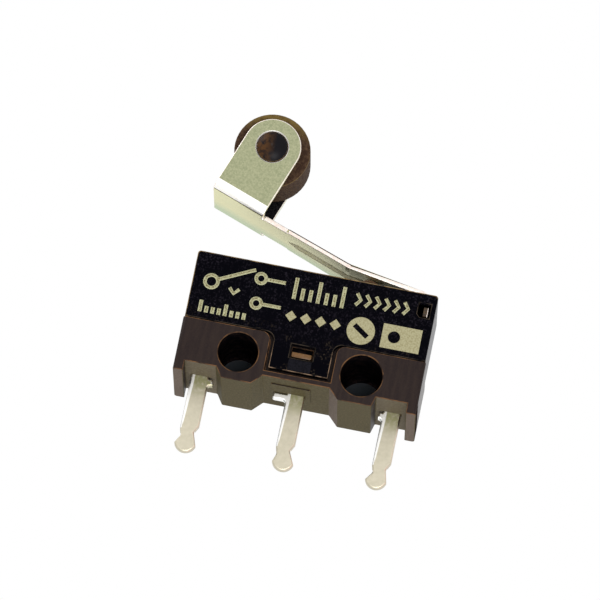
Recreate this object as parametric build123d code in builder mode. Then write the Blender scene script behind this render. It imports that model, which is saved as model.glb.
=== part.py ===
from build123d import *
from math import asin, cos, degrees, pi, radians, sin, sqrt, tan
import os

# Subminiature snap switch with a hinged roller lever, sizes in millimetres.
# The origin lies midway between the two mounting holes, on their axes, at mid depth.
# +X runs along the case towards the lever's hinge, -Y is the front, +Z is up.

# Case
case_length = 12.8
case_depth = 5.8
case_height = 6.5
hole_height = 1.5
hole_spacing = 6.5
locating_hole_radius = 1.05
clearance_hole_radius = 1.10
base_top = 1.36

# Base underside
foot_width = 0.53
foot_height = 0.53
boss_outer = 4.2
left_boss_run = 0.35
right_boss_run = 0.15
boss_inner = 1.75
boss_inner_run = 0.53
centre_pad_left = 1.3
centre_pad_right = 0.75
centre_pad_front = 1.7
centre_pad_back = 0.9
centre_pad_height = 0.06
hole_rim_break = 0.05

# Cover
cover_setback = 0.05
cover_seam = 0.04
side_wall = 0.5
left_wall = 0.45
right_wall = 0.25
roof = 0.45
top_round = 0.15
upright_round = 0.18
tongue_width = 3.12
tongue_drop = 1.84
tongue_gap = 0.2
tongue_root_round = 0.45
tongue_floor_gap = 0.04
rim_height = 0.5
rim_width = 0.35
rim_gap = 0.05

# Cover latch, the same on the front and the back
latch_window_width = 1.25
latch_window_height = 0.75
latch_window_bottom = 0.25
latch_width = 1.05
latch_reach = 0.42
latch_ledge_gap = 0.08
latch_face_height = 0.27
latch_slope_height = 0.33
gate_pad_width = 1.2
gate_pad_height = 0.6
gate_pad_gap = 0.07
gate_pad_raise = 0.03

# Terminals, flat stampings that stand in the XZ plane
terminal_pitch = 5.08
terminal_thickness = 0.5
terminal_width = 0.96
terminal_reach = 3.6
terminal_edge_round = 0.1
stem_width = 0.9
stem_clearance = 0.02
shoulder_height = 0.34
shoulder_gap = 0.02
shoulder_round = 0.15
common_shoulder = 0.72
open_shoulder = 1.18
closed_shoulder = 0.66
left_neck_cut = 0.1
left_neck_rise = 0.42
right_neck_cut = 0.2
right_neck_rise = 0.68
neck_slope = 0.38
tip_half_width = 0.56
tip_height = 0.42
common_tip_shift = -0.06
open_tip_shift = 0.03
closed_tip_shift = -0.13

# Contacts and snap blade
rail_height = 0.3
contact_x = 4.2
contact_radius = 0.4
contact_thickness = 0.18
rivet_head = 0.22
rivet_shank_radius = 0.22
rivet_hole_clearance = 0.02
contact_gap = 0.5
contact_rest_gap = 0.03
blade_thickness = 0.12
blade_width = 3.0
blade_end_margin = 0.45
blade_corner = 0.25
blade_pivot_x = 5.24
blade_bar_width = 0.34
blade_rail_width = 0.55
blade_window_right = 2.0
tongue_strip_width = 1.3
tongue_bow = 0.55
post_width = 0.6
post_notch_clearance = 0.04
post_top_margin = 0.35
tongue_post_x = 2.4
tongue_post_width = 0.4
tongue_notch_depth = 0.14
tongue_notch_room = 0.12
hook_width = 0.45
hook_height = 0.25
hook_overhang = 0.25

# Lever, folded from one sheet
lever_sheet = 0.25
lever_rise = 10.0
lever_kink = 10.2
pivot_x = 5.845
pivot_depth = 0.97
roof_clearance = 0.02
tab_inner_radius = 0.35
kink_radius = 1.2
tab_neck_width = 3.3
tab_drop = 0.28
wing_height = 0.5
wing_recess = 0.13
inner_length = 4.51
outer_length = 8.2
arm_width = 3.64
arm_end_width = 3.25
relief_width = 2.96
relief_length = 1.55
relief_run = 0.12
ear_width = 3.02
ear_span = 4.4
ear_bend_radius = 0.15
ear_notch_radius = 0.1
roller_height = 3.445
bead_width = 0.85
bead_height = 0.18
bead_taper = 35
bead_point = 0.55
bead_outer_length = 3.57
bead_inner_length = 1.83
bead_overlap = 0.25
hole_edge_break = 0.06

# Hinge window in the cover's two side walls
window_left_room = 0.42
window_right_room = 0.235
window_low_room = 0.35
window_high_room = 0.42
window_corner = 0.16
slot_room = 0.08

# Roller with its two trunnions
roller_radius = 2.0
roller_width = 3.0
roller_face_radius = 1.77
roller_bevel = 0.12
hub_radius = 1.2
hub_gap = 0.05
trunnion_radius = 0.8
trunnion_clearance = 0.03
trunnion_proud = 0.16
trunnion_tip_radius = 0.35
dimple_radius = 0.16
dimple_depth = 0.06

# Plunger
plunger_x = 2.65
plunger_length = 1.0
plunger_depth = 2.4
plunger_clearance = 0.04
plunger_dome_radius = 0.7
plunger_top_gap = 0.04
plunger_blade_gap = 0.22
flange_length = 1.7
flange_depth = 3.2
flange_height = 0.5
flange_roof_gap = 0.1

# How close an edge has to lie to a face to be picked out by it
position_tolerance = 0.01

# Levels and faces that follow from the sizes above
half_length = case_length / 2
half_depth = case_depth / 2
foot_z = -hole_height
case_top = case_height - hole_height
ceiling_z = foot_z + foot_height
cover_half_length = half_length - cover_setback
cover_half_depth = half_depth - cover_setback
cover_bottom = base_top + cover_seam
cavity_half_depth = cover_half_depth - side_wall
cavity_left = -cover_half_length + left_wall
cavity_right = cover_half_length - right_wall
cavity_middle = (cavity_left + cavity_right) / 2
cavity_top = case_top - roof
tongue_bottom = base_top - tongue_drop
recess_floor = cavity_half_depth - tongue_floor_gap
plate_half = terminal_thickness / 2
rail_bottom = base_top + stem_clearance
rail_top = rail_bottom + rail_height
tip_z = foot_z - terminal_reach
shoulder_top = ceiling_z - centre_pad_height - shoulder_gap
open_contact_top = rail_top + contact_thickness
rivet_bottom = open_contact_top + contact_rest_gap + contact_gap
blade_bottom = rivet_bottom + rivet_head
blade_mid = blade_bottom + blade_thickness / 2
blade_top = blade_bottom + blade_thickness
closed_contact_bottom = blade_top + rivet_head + contact_rest_gap
hook_bottom = closed_contact_bottom + contact_thickness
post_top = blade_mid + post_top_margin

# Lever lines: both stretches seen as lines through the middle of the sheet
half_sheet = lever_sheet / 2
inner_angle = radians(lever_rise)
outer_angle = radians(lever_rise + lever_kink)
pivot_height = case_top - pivot_depth
seat_distance = pivot_depth + roof_clearance
corner_z = pivot_height + (seat_distance + half_sheet) / cos(inner_angle)
kink_x = pivot_x - inner_length * cos(inner_angle)
kink_z = corner_z + inner_length * sin(inner_angle)
end_x = kink_x - outer_length * cos(outer_angle)
end_z = kink_z + outer_length * sin(outer_angle)
inner_plane = Plane(
    origin=(kink_x, 0, kink_z),
    x_dir=(cos(inner_angle), 0, -sin(inner_angle)),
    z_dir=(sin(inner_angle), 0, cos(inner_angle)),
)
outer_plane = Plane(
    origin=(kink_x, 0, kink_z),
    x_dir=(cos(outer_angle), 0, -sin(outer_angle)),
    z_dir=(sin(outer_angle), 0, cos(outer_angle)),
)
ear_centre = ear_width / 2 - outer_length
roller_point = outer_plane.from_local_coords((ear_centre, 0, roller_height - half_sheet))
roller_axis = Axis(roller_point, (0, 1, 0))
ear_inner = ear_span / 2 - lever_sheet
ear_hole_radius = trunnion_radius + trunnion_clearance

tab_bend_left = pivot_x - half_sheet - tab_inner_radius * tan(pi / 4 - inner_angle / 2)


def underside_at(x):
    """Height of the lever's underside along its inner stretch."""
    return pivot_height + seat_distance / cos(inner_angle) + (pivot_x - x) * tan(inner_angle)


# Plunger height: its dome touches the lever's underside, less the gap
dome_reach = plunger_dome_radius + plunger_top_gap
dome_centre_z = underside_at(plunger_x) - dome_reach / cos(inner_angle)
plunger_travel = dome_centre_z - (case_top + roof_clearance - dome_reach)
blade_swing = degrees(asin(contact_gap / (contact_x + blade_pivot_x)))


def side_profile(points):
    """A face in the XZ plane through the given corners."""
    with BuildSketch(Plane.XZ) as profile:
        with BuildLine():
            Polyline(*points, close=True)
        make_face()
    return profile.sketch


def terminal_tail(side, shoulder_reach, tip_shift):
    """The visible part of a terminal about its own centre line, up to the case's underside."""
    half = terminal_width / 2
    tip_top = tip_z + tip_height
    left_neck = tip_top + left_neck_rise
    right_neck = tip_top + right_neck_rise
    shoulder_bottom = shoulder_top - shoulder_height
    stem_half = stem_width / 2
    tip_left = (tip_shift - tip_half_width, tip_top)
    tip_right = (tip_shift + tip_half_width, tip_top)
    with BuildSketch(Plane.XZ) as tail:
        with BuildLine():
            Polyline(
                tip_left,
                (-half + left_neck_cut, left_neck),
                (-half, left_neck + neck_slope),
                (-half, shoulder_top),
                (-stem_half, ceiling_z),
                (stem_half, ceiling_z),
                (half, shoulder_top),
                (half, right_neck + neck_slope),
                (half - right_neck_cut, right_neck),
                tip_right,
            )
            ThreePointArc(tip_right, (tip_shift, tip_z), tip_left)
        make_face()
        with Locations((side * shoulder_reach / 2, shoulder_top - shoulder_height / 2)):
            Rectangle(shoulder_reach, shoulder_height)
        inner_corner = tail.vertices().sort_by_distance((side * half, shoulder_bottom))[0]
        fillet(inner_corner, shoulder_round)
    return tail.sketch


def tail_edges(part):
    """The outline edges of a tail below its shoulder, which the stamping leaves rounded."""
    sides = part.faces().filter_by(Axis.Y)
    outline = ShapeList(edge for side in sides for edge in side.edges())
    highest = shoulder_top - shoulder_height - position_tolerance
    return outline.filter_by(lambda edge: edge.center().Z < highest)


def is_hole_rim(edge):
    """Whether an edge is the rim of a mounting hole, on the front or the back."""
    on_face = abs(abs(edge.center().Y) - half_depth) < position_tolerance
    return on_face and edge.radius >= locating_hole_radius


# Base: feet, bosses round the mounting holes, latch hooks and the slots for the terminals
base_outline = [
    (-half_length, foot_z),
    (-half_length + foot_width, foot_z),
    (-half_length + foot_width, ceiling_z),
    (-boss_outer, ceiling_z),
    (-boss_outer + left_boss_run, foot_z),
    (-boss_inner - boss_inner_run, foot_z),
    (-boss_inner, ceiling_z),
    (boss_inner, ceiling_z),
    (boss_inner + boss_inner_run, foot_z),
    (boss_outer - right_boss_run, foot_z),
    (boss_outer, ceiling_z),
    (half_length - foot_width, ceiling_z),
    (half_length - foot_width, foot_z),
    (half_length, foot_z),
    (half_length, base_top),
    (-half_length, base_top),
]
recess_half = tongue_width / 2 + tongue_gap
recess_bottom = tongue_bottom - tongue_gap
latch_low = latch_window_bottom + latch_ledge_gap
latch_tip = recess_floor + latch_reach
rim_outer = cavity_half_depth - rim_gap

with BuildPart() as base:
    extrude(side_profile(base_outline), amount=half_depth, both=True)
    fillet(base.edges().filter_by(Axis.Z).group_by(Axis.X)[0], upright_round)
    fillet(base.edges().filter_by(Axis.Z).group_by(Axis.X)[-1], upright_round)
    with BuildSketch(Plane.XY.offset(ceiling_z)):
        pad_middle = (centre_pad_right - centre_pad_left) / 2
        pad_depth_middle = (centre_pad_back - centre_pad_front) / 2
        with Locations((pad_middle, pad_depth_middle)):
            Rectangle(centre_pad_left + centre_pad_right, centre_pad_front + centre_pad_back)
    extrude(amount=-centre_pad_height)
    for face_sign in (-1, 1):
        with BuildSketch(Plane.XZ.offset(face_sign * half_depth)):
            with Locations((0, (base_top + recess_bottom) / 2)):
                Rectangle(2 * recess_half, base_top - recess_bottom)
        extrude(amount=face_sign * (recess_floor - half_depth), mode=Mode.SUBTRACT)
    pad_corners = (
        base.edges()
        .filter_by(Axis.Y)
        .filter_by(lambda edge: abs(edge.center().Z - base_top) < position_tolerance)
        .filter_by(lambda edge: abs(abs(edge.center().X) - recess_half) < position_tolerance)
    )
    fillet(pad_corners, tongue_root_round)
    with BuildSketch(Plane.YZ.offset(-latch_width / 2)):
        with BuildLine():
            Polyline(
                (recess_floor, latch_low),
                (latch_tip, latch_low),
                (latch_tip, latch_low + latch_face_height),
                (recess_floor, latch_low + latch_face_height + latch_slope_height),
                close=True,
            )
        make_face()
        mirror(about=Plane.YZ)
    extrude(amount=latch_width)
    with BuildSketch(Plane.XY.offset(base_top)):
        rim_y = rim_outer - rim_width / 2
        with Locations((cavity_middle, rim_y), (cavity_middle, -rim_y)):
            Rectangle(cavity_right - cavity_left - 2 * rim_gap, rim_width)
    extrude(amount=rim_height)
    with Locations(Location((-hole_spacing / 2, 0, 0), (90, 0, 0))):
        Hole(locating_hole_radius, depth=case_depth)
    with Locations(Location((hole_spacing / 2, 0, 0), (90, 0, 0))):
        Hole(clearance_hole_radius, depth=case_depth)
    chamfer(base.edges().filter_by(GeomType.CIRCLE).filter_by(is_hole_rim), hole_rim_break)
    with BuildSketch(Plane.XY.offset(ceiling_z - centre_pad_height)):
        with GridLocations(terminal_pitch, 1, 3, 1):
            Rectangle(stem_width + 2 * stem_clearance, terminal_thickness + 2 * stem_clearance)
    extrude(amount=base_top - ceiling_z + centre_pad_height, mode=Mode.SUBTRACT)
base.part.label = "base"

# Cover: shell with a tongue on the front and the back, latch and hinge windows, lever slot
window_left = pivot_x - window_left_room
window_right = pivot_x + window_right_room
window_low = pivot_height - window_low_room
window_high = pivot_height + window_high_room
slot_left = tab_bend_left - seat_distance * sin(inner_angle) - slot_room
slot_right = cavity_right
tongue_half = tongue_width / 2
gate_top = latch_window_bottom - gate_pad_gap

with BuildPart() as cover:
    with BuildSketch(Plane.XY.offset(cover_bottom)):
        Rectangle(2 * cover_half_length, 2 * cover_half_depth)
    extrude(amount=case_top - cover_bottom)
    fillet(cover.edges().filter_by(Axis.Z), upright_round)
    fillet(cover.faces().sort_by(Axis.Z)[-1].edges(), top_round)
    with BuildSketch(Plane.XY.offset(cover_bottom)):
        with Locations((cavity_middle, 0)):
            Rectangle(cavity_right - cavity_left, 2 * cavity_half_depth)
    extrude(amount=cavity_top - cover_bottom, mode=Mode.SUBTRACT)
    for face_sign in (-1, 1):
        with BuildSketch(Plane.XZ.offset(face_sign * cavity_half_depth)):
            with BuildLine():
                Polyline(
                    (-tongue_half, tongue_bottom),
                    (tongue_half, tongue_bottom),
                    (tongue_half, cover_bottom - tongue_root_round),
                    (tongue_half + tongue_root_round, cover_bottom),
                    (-tongue_half - tongue_root_round, cover_bottom),
                    (-tongue_half, cover_bottom - tongue_root_round),
                    close=True,
                )
            make_face()
            with Locations(
                (-tongue_half - tongue_root_round, cover_bottom - tongue_root_round),
                (tongue_half + tongue_root_round, cover_bottom - tongue_root_round),
            ):
                Circle(tongue_root_round, mode=Mode.SUBTRACT)
        extrude(amount=face_sign * side_wall)
        with BuildSketch(Plane.XZ.offset(face_sign * cavity_half_depth)):
            with Locations((0, latch_window_bottom + latch_window_height / 2)):
                Rectangle(latch_window_width, latch_window_height)
            with BuildLine():
                Polyline(
                    (window_left + window_corner, window_low),
                    (window_right, window_low),
                    (window_right, window_high),
                    (window_left, window_high),
                    (window_left, window_low + window_corner),
                    close=True,
                )
            make_face()
        extrude(amount=face_sign * side_wall, mode=Mode.SUBTRACT)
        with BuildSketch(Plane.XZ.offset(face_sign * cover_half_depth)):
            with Locations((0, gate_top - gate_pad_height / 2)):
                Rectangle(gate_pad_width, gate_pad_height)
        extrude(amount=face_sign * gate_pad_raise)
    with BuildSketch(Plane.XY.offset(cavity_top)):
        with Locations(((slot_left + slot_right) / 2, 0)):
            Rectangle(slot_right - slot_left, tab_neck_width + 2 * slot_room)
        with Locations((plunger_x, 0)):
            Rectangle(
                plunger_length + 2 * plunger_clearance,
                plunger_depth + 2 * plunger_clearance,
            )
    extrude(amount=roof, mode=Mode.SUBTRACT)
cover.part.label = "cover"

# Common terminal: two posts on a rail, for the blade's end bar and for its tongue
common_x = -terminal_pitch
post_left = -blade_pivot_x - post_notch_clearance - blade_bar_width / 2
post_right = post_left + post_width
notch_half = blade_thickness / 2 + post_notch_clearance
tongue_post_right = -tongue_post_x + tongue_post_width
common_inner = [
    (common_x - stem_width / 2, ceiling_z),
    (common_x + stem_width / 2, ceiling_z),
    (common_x + stem_width / 2, rail_bottom),
    (tongue_post_right, rail_bottom),
    (tongue_post_right, blade_mid - notch_half - tongue_notch_room),
    (tongue_post_right - tongue_notch_depth, blade_mid - notch_half),
    (tongue_post_right - tongue_notch_depth, blade_mid + notch_half),
    (tongue_post_right, blade_mid + notch_half + tongue_notch_room),
    (tongue_post_right, post_top),
    (-tongue_post_x, post_top),
    (-tongue_post_x, rail_top),
    (post_right, rail_top),
    (post_right, post_top),
    (post_left, post_top),
    (post_left, blade_mid + notch_half),
    (-blade_pivot_x, blade_mid + notch_half),
    (-blade_pivot_x, blade_mid - notch_half),
    (post_left, blade_mid - notch_half),
    (post_left, rail_bottom),
    (common_x - stem_width / 2, rail_bottom),
]

with BuildPart() as terminal_common:
    common_tail = Pos(common_x, 0, 0) * terminal_tail(1, common_shoulder, common_tip_shift)
    extrude(common_tail, amount=plate_half, both=True)
    fillet(tail_edges(terminal_common), terminal_edge_round)
    extrude(side_profile(common_inner), amount=plate_half, both=True)
terminal_common.part.label = "terminal_common"

# Normally open terminal: a rail that carries the lower fixed contact
open_inner = [
    (-stem_width / 2, ceiling_z),
    (stem_width / 2, ceiling_z),
    (stem_width / 2, rail_bottom),
    (contact_x + contact_radius, rail_bottom),
    (contact_x + contact_radius, rail_top),
    (-stem_width / 2, rail_top),
]

with BuildPart() as terminal_open:
    extrude(terminal_tail(-1, open_shoulder, open_tip_shift), amount=plate_half, both=True)
    fillet(tail_edges(terminal_open), terminal_edge_round)
    extrude(side_profile(open_inner), amount=plate_half, both=True)
terminal_open.part.label = "terminal_normally_open"

# Normally closed terminal: a post with a hook that carries the upper fixed contact
closed_x = terminal_pitch
hook_right = closed_x + stem_width / 2
closed_inner = [
    (closed_x - stem_width / 2, ceiling_z),
    (hook_right, ceiling_z),
    (hook_right, hook_bottom + hook_height),
    (contact_x - hook_overhang, hook_bottom + hook_height),
    (contact_x - hook_overhang, hook_bottom),
    (hook_right - hook_width, hook_bottom),
    (hook_right - hook_width, rail_bottom),
    (closed_x - stem_width / 2, rail_bottom),
]

with BuildPart() as terminal_closed:
    closed_tail = Pos(closed_x, 0, 0) * terminal_tail(-1, closed_shoulder, closed_tip_shift)
    extrude(closed_tail, amount=plate_half, both=True)
    fillet(tail_edges(terminal_closed), terminal_edge_round)
    extrude(side_profile(closed_inner), amount=plate_half, both=True)
terminal_closed.part.label = "terminal_normally_closed"

# Fixed contacts: round buttons welded to the rail and under the hook
with BuildPart() as contact_open:
    with BuildSketch(Plane.XY.offset(rail_top)):
        with Locations((contact_x, 0)):
            Circle(contact_radius)
    extrude(amount=contact_thickness)
contact_open.part.label = "contact_normally_open"

with BuildPart() as contact_closed:
    with BuildSketch(Plane.XY.offset(closed_contact_bottom)):
        with Locations((contact_x, 0)):
            Circle(contact_radius)
    extrude(amount=contact_thickness)
contact_closed.part.label = "contact_normally_closed"

# Snap blade: a thin frame hooked behind the post, with a bowed tongue cut out of its middle
blade_left = -blade_pivot_x - blade_bar_width
blade_right = contact_x + blade_end_margin
tongue_end = tongue_post_right - tongue_notch_depth + post_notch_clearance

with BuildPart() as snap_blade:
    with BuildSketch(Plane.XY.offset(blade_bottom)):
        with Locations(((blade_left + blade_right) / 2, 0)):
            RectangleRounded(blade_right - blade_left, blade_width, blade_corner)
        with Locations(((blade_window_right - blade_pivot_x) / 2, 0)):
            Rectangle(
                blade_window_right + blade_pivot_x,
                blade_width - 2 * blade_rail_width,
                mode=Mode.SUBTRACT,
            )
        with Locations((contact_x, 0)):
            Circle(rivet_shank_radius + rivet_hole_clearance, mode=Mode.SUBTRACT)
    extrude(amount=blade_thickness)
    with BuildSketch(Plane.XZ):
        with BuildLine():
            ThreePointArc(
                (blade_window_right + blade_thickness, blade_mid),
                ((blade_window_right + tongue_end) / 2, blade_mid + tongue_bow),
                (tongue_end, blade_mid),
            )
        trace(line_width=blade_thickness)
    extrude(amount=tongue_strip_width / 2, both=True)
snap_blade.part.label = "snap_blade"

# Moving contact: a rivet with a head on each side of the blade
with BuildPart() as moving_contact:
    with BuildSketch(Plane.XY.offset(rivet_bottom)):
        with Locations((contact_x, 0)):
            Circle(contact_radius)
    extrude(amount=rivet_head)
    with BuildSketch(Plane.XY.offset(blade_bottom)):
        with Locations((contact_x, 0)):
            Circle(rivet_shank_radius)
    extrude(amount=blade_thickness)
    with BuildSketch(Plane.XY.offset(blade_top)):
        with Locations((contact_x, 0)):
            Circle(contact_radius)
    extrude(amount=rivet_head)
moving_contact.part.label = "moving_contact"

# Plunger: domed head through the roof, a flange under it and a stem down to the blade
flange_top = cavity_top - flange_roof_gap
plunger_bottom = blade_top + plunger_blade_gap
plunger_left = plunger_x - plunger_length / 2
plunger_right = plunger_x + plunger_length / 2
dome_edge_z = dome_centre_z + sqrt(plunger_dome_radius**2 - (plunger_length / 2) ** 2)
dome_top = dome_centre_z + plunger_dome_radius

with BuildPart() as plunger:
    with BuildSketch(Plane.XZ):
        with BuildLine():
            Polyline(
                (plunger_left, dome_edge_z),
                (plunger_left, plunger_bottom),
                (plunger_right, plunger_bottom),
                (plunger_right, dome_edge_z),
            )
            ThreePointArc(
                (plunger_right, dome_edge_z),
                (plunger_x, dome_top),
                (plunger_left, dome_edge_z),
            )
        make_face()
    extrude(amount=plunger_depth / 2, both=True)
    with BuildSketch(Plane.XY.offset(flange_top)):
        with Locations((plunger_x, 0)):
            Rectangle(flange_length, flange_depth)
    extrude(amount=-flange_height)
plunger.part.label = "plunger"

# Lever ears: a channel across the arm's end, cut to the rounded outline of the ears
ear_start = outer_plane.from_local_coords((-outer_length, 0, 0))
channel_plane = Plane(origin=ear_start, x_dir=(0, 1, 0), z_dir=outer_plane.x_dir)
ear_plane = Plane(
    origin=outer_plane.from_local_coords((ear_centre, 0, 0)),
    x_dir=outer_plane.x_dir,
    z_dir=(0, -1, 0),
)
ear_middle = ear_span / 2 - half_sheet
ear_top = roller_height - half_sheet + ear_width
bend_middle = ear_bend_radius + half_sheet

with BuildPart() as ear_channel:
    with BuildSketch(channel_plane):
        with BuildLine():
            FilletPolyline(
                (-ear_middle, ear_top),
                (-ear_middle, 0),
                (ear_middle, 0),
                (ear_middle, ear_top),
                radius=bend_middle,
            )
        trace(line_width=lever_sheet)
    extrude(amount=ear_width)
    with BuildSketch(ear_plane):
        with Locations((0, roller_height - half_sheet)):
            Circle(ear_width / 2)
        with Locations((0, (roller_height - lever_sheet) / 2)):
            Rectangle(ear_width, roller_height)
    extrude(amount=ear_span, both=True, mode=Mode.INTERSECT)

# Lever: tab, arm and ears with the trunnion holes and the bead along the arm
tab_bottom = pivot_height - tab_drop
wing_half = cover_half_depth - wing_recess
wing_top = pivot_height + wing_height / 2
neck_cut = [
    (pivot_x + half_sheet, wing_top),
    (pivot_x + half_sheet, underside_at(pivot_x + half_sheet)),
    (tab_bend_left, underside_at(tab_bend_left)),
    (tab_bend_left, wing_top),
]
relief_start = ear_width - outer_length
relief_end = relief_start + relief_length
side_trim = [
    (0, arm_width / 2),
    (relief_end, arm_end_width / 2),
    (relief_end - relief_run, relief_width / 2),
    (-outer_length, relief_width / 2),
    (-outer_length, arm_width / 2),
]
bead_half = bead_width / 2
outer_bead = [
    (bead_overlap, bead_half),
    (bead_point - bead_outer_length, bead_half),
    (-bead_outer_length, 0),
    (bead_point - bead_outer_length, -bead_half),
    (bead_overlap, -bead_half),
]
inner_bead = [
    (-bead_overlap, -bead_half),
    (bead_inner_length - bead_point, -bead_half),
    (bead_inner_length, 0),
    (bead_inner_length - bead_point, bead_half),
    (-bead_overlap, bead_half),
]
bead_outlines = ((outer_plane, outer_bead), (inner_plane, inner_bead))

with BuildPart() as lever:
    with BuildSketch(Plane.XZ):
        with BuildLine():
            FilletPolyline(
                (pivot_x, tab_bottom),
                (pivot_x, corner_z),
                (kink_x, kink_z),
                (end_x, end_z),
                radius=[tab_inner_radius + half_sheet, kink_radius],
            )
        trace(line_width=lever_sheet)
    extrude(amount=arm_width / 2, both=True)
    for face_sign in (-1, 1):
        with BuildSketch(Plane.XZ.offset(face_sign * tab_neck_width / 2)):
            with BuildLine():
                Polyline(*neck_cut, close=True)
            make_face()
        extrude(amount=face_sign * (arm_width - tab_neck_width) / 2, mode=Mode.SUBTRACT)
    with BuildSketch(Plane.YZ.offset(pivot_x - half_sheet)):
        with Locations((0, pivot_height)):
            Rectangle(2 * wing_half, wing_height)
    extrude(amount=lever_sheet)
    with BuildSketch(outer_plane.offset(-lever_sheet)):
        with BuildLine():
            Polyline(*side_trim, close=True)
        make_face()
        mirror(about=Plane.XZ)
    extrude(amount=2 * lever_sheet, mode=Mode.SUBTRACT)
    add(ear_channel.part)
    with BuildSketch(outer_plane.offset(-lever_sheet)):
        with Locations((relief_start, relief_width / 2), (relief_start, -relief_width / 2)):
            Circle(ear_notch_radius)
    extrude(amount=2 * lever_sheet, mode=Mode.SUBTRACT)
    for stretch, outline in bead_outlines:
        with BuildSketch(stretch.offset(half_sheet)):
            with BuildLine():
                Polyline(*outline, close=True)
            make_face()
        extrude(amount=bead_height, taper=bead_taper)
    for stretch, outline in bead_outlines:
        with BuildSketch(stretch.offset(-half_sheet)):
            with BuildLine():
                Polyline(*outline, close=True)
            make_face()
        extrude(amount=bead_height, taper=bead_taper, mode=Mode.SUBTRACT)
    with BuildSketch(ear_plane):
        with Locations((0, roller_height - half_sheet)):
            Circle(ear_hole_radius)
    extrude(amount=ear_span, both=True, mode=Mode.SUBTRACT)
    hole_edges = (
        lever.edges()
        .filter_by(GeomType.CIRCLE)
        .filter_by(lambda edge: abs(edge.radius - ear_hole_radius) < position_tolerance)
        .filter_by(lambda edge: abs(abs(edge.center().Y) - ear_span / 2) < position_tolerance)
    )
    chamfer(hole_edges, hole_edge_break)
lever.part.label = "lever"

# Roller: drum, hubs towards the ears and domed trunnions with a centre dimple
hub_end = ear_inner - hub_gap
trunnion_end = ear_span / 2 + trunnion_proud
roller_profile_plane = Plane(origin=roller_point, x_dir=(0, 1, 0), z_dir=(1, 0, 0))

with BuildPart() as roller:
    with BuildSketch(roller_profile_plane):
        with BuildLine():
            Polyline(
                (0, 0),
                (0, roller_radius),
                (roller_width / 2 - roller_bevel, roller_radius),
                (roller_width / 2, roller_face_radius),
                (roller_width / 2, hub_radius),
                (hub_end, hub_radius),
                (hub_end, trunnion_radius),
                (ear_span / 2, trunnion_radius),
                (trunnion_end, trunnion_tip_radius),
                (trunnion_end, dimple_radius),
                (trunnion_end - dimple_depth, 0),
                close=True,
            )
        make_face()
        mirror(about=Plane.YZ)
    revolve(axis=roller_axis)
roller.part.label = "roller"

os.makedirs("parts", exist_ok=True)
pieces = [
    base,
    cover,
    terminal_common,
    terminal_open,
    terminal_closed,
    contact_open,
    contact_closed,
    snap_blade,
    moving_contact,
    plunger,
    lever,
    roller,
]
for piece in pieces:
    export_step(piece.part, f"parts/{piece.part.label}.step")

print(f"plunger travel {plunger_travel:.4f} mm for {lever_rise} degrees of the lever")
print(f"blade swing {blade_swing:.4f} degrees about x {-blade_pivot_x}, z {blade_mid:.3f}")
print(f"roller axis at x {roller_point.X:.4f}, z {roller_point.Z:.4f}")
print(f"lever pivot at x {pivot_x}, z {pivot_height}")
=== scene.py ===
from math import cos, hypot, inf, pi, radians, sin

import bmesh
import bpy
from mathutils import Matrix, Vector


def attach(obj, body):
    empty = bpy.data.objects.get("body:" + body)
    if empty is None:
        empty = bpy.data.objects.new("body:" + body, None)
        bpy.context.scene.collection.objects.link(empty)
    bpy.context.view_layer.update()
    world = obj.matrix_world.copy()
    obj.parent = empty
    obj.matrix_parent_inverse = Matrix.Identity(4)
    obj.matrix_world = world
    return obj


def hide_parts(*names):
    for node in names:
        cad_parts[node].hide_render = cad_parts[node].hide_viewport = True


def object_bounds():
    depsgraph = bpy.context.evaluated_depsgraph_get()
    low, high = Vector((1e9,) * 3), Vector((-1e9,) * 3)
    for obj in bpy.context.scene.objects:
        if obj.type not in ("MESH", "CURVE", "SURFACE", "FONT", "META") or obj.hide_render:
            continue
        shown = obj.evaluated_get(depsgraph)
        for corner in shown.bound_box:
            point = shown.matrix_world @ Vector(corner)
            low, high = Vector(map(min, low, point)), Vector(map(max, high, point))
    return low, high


# Looks of the subminiature snap switch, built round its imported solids. Sizes are plain millimetres, and MM
# turns them into Blender's metres where they are used.
MM = 0.001

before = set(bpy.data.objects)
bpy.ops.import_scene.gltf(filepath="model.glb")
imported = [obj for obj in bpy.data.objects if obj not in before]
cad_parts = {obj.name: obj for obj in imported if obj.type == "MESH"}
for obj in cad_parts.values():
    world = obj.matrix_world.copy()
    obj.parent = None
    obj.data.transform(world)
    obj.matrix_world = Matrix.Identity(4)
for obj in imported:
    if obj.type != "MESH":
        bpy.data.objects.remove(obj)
cad_low, cad_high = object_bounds()
scene = bpy.context.scene
scene.view_settings.view_transform = "Standard"

# Camera, worked out from the known size of the case and the places of its holes in the picture
CAMERA_AZIMUTH = radians(2.9)
CAMERA_ELEVATION = radians(-14.2)
CAMERA_ROLL = radians(11.67)
CAMERA_DISTANCE = 400
CLIP_FACTOR = 10
PICTURE_SIZE = 600
PIXELS_PER_MM = 19.225
ORIGIN_PIXEL = (299.7, 377.85)
SENSOR_WIDTH = 36

# Stage
FLOOR_GAP = 0.02
FLOOR_HALF = 900
CARD_GAP = 0.02
CARD_RADIUS = 1.2
PAPER_ROUGHNESS = 0.9
ROOM_LEVEL = 0.52

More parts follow.
